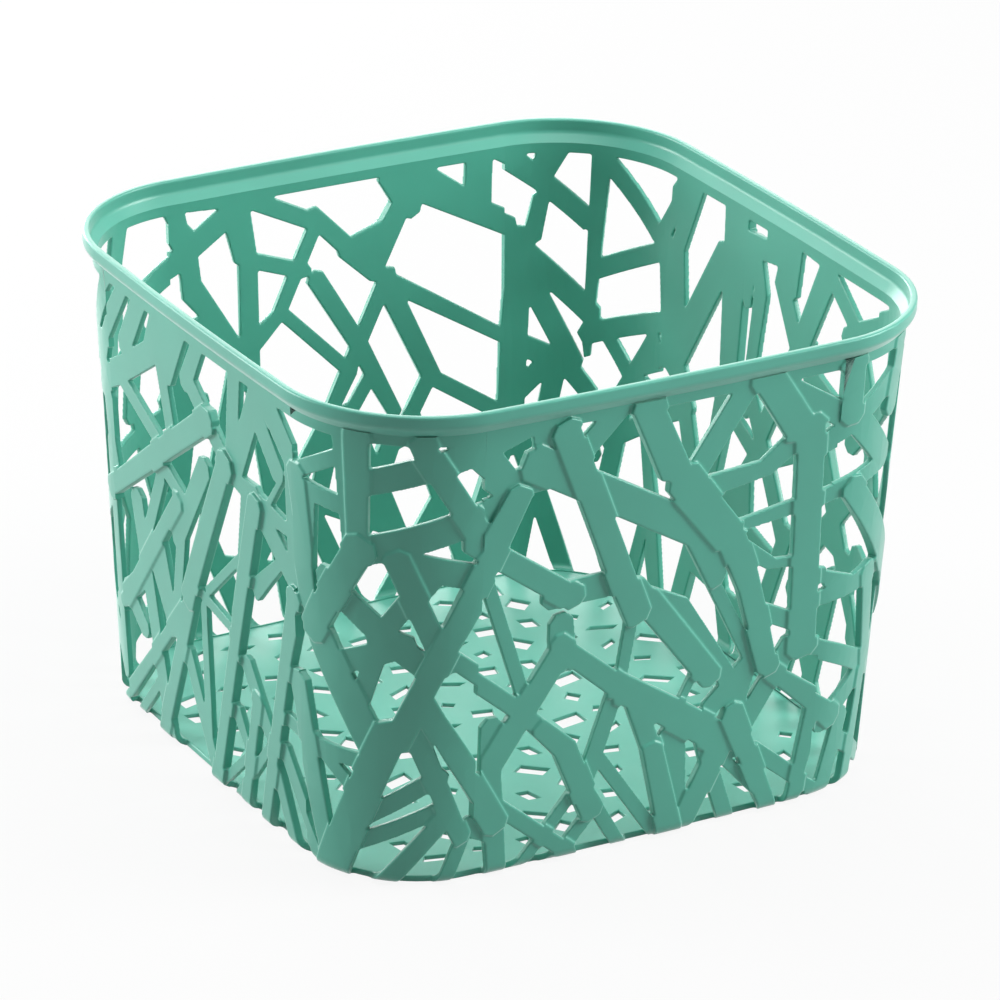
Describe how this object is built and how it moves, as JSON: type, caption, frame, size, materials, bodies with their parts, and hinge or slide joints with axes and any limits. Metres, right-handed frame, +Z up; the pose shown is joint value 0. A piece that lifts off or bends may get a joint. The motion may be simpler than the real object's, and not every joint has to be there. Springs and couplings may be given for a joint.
{
  "type": "openwork storage basket",
  "caption": "Square tapered openwork storage basket with rounded corners, a lipped rim, walls of crossing branches and a slotted floor.",
  "frame": {"origin": "middle of the underside, on the surface that the basket stands on", "axes": "+Z up through the open mouth; +X to the right and -Y to the front, square to the walls"},
  "size_m": [0.2552, 0.2552, 0.1865],
  "materials": {
    "wall_plastic": "satin moulded polypropylene",
    "rim_plastic": "satin moulded polypropylene",
    "floor_plastic": "satin moulded polypropylene"
  },
  "bodies": {
    "root": {"front_lattice": "wall_plastic", "front_right_corner": "wall_plastic", "right_lattice": "wall_plastic", "right_back_corner": "wall_plastic", "back_lattice": "wall_plastic", "back_left_corner": "wall_plastic", "left_lattice": "wall_plastic", "left_front_corner": "wall_plastic", "rim": "rim_plastic", "slotted_floor": "floor_plastic"}
  },
  "joints": []
}
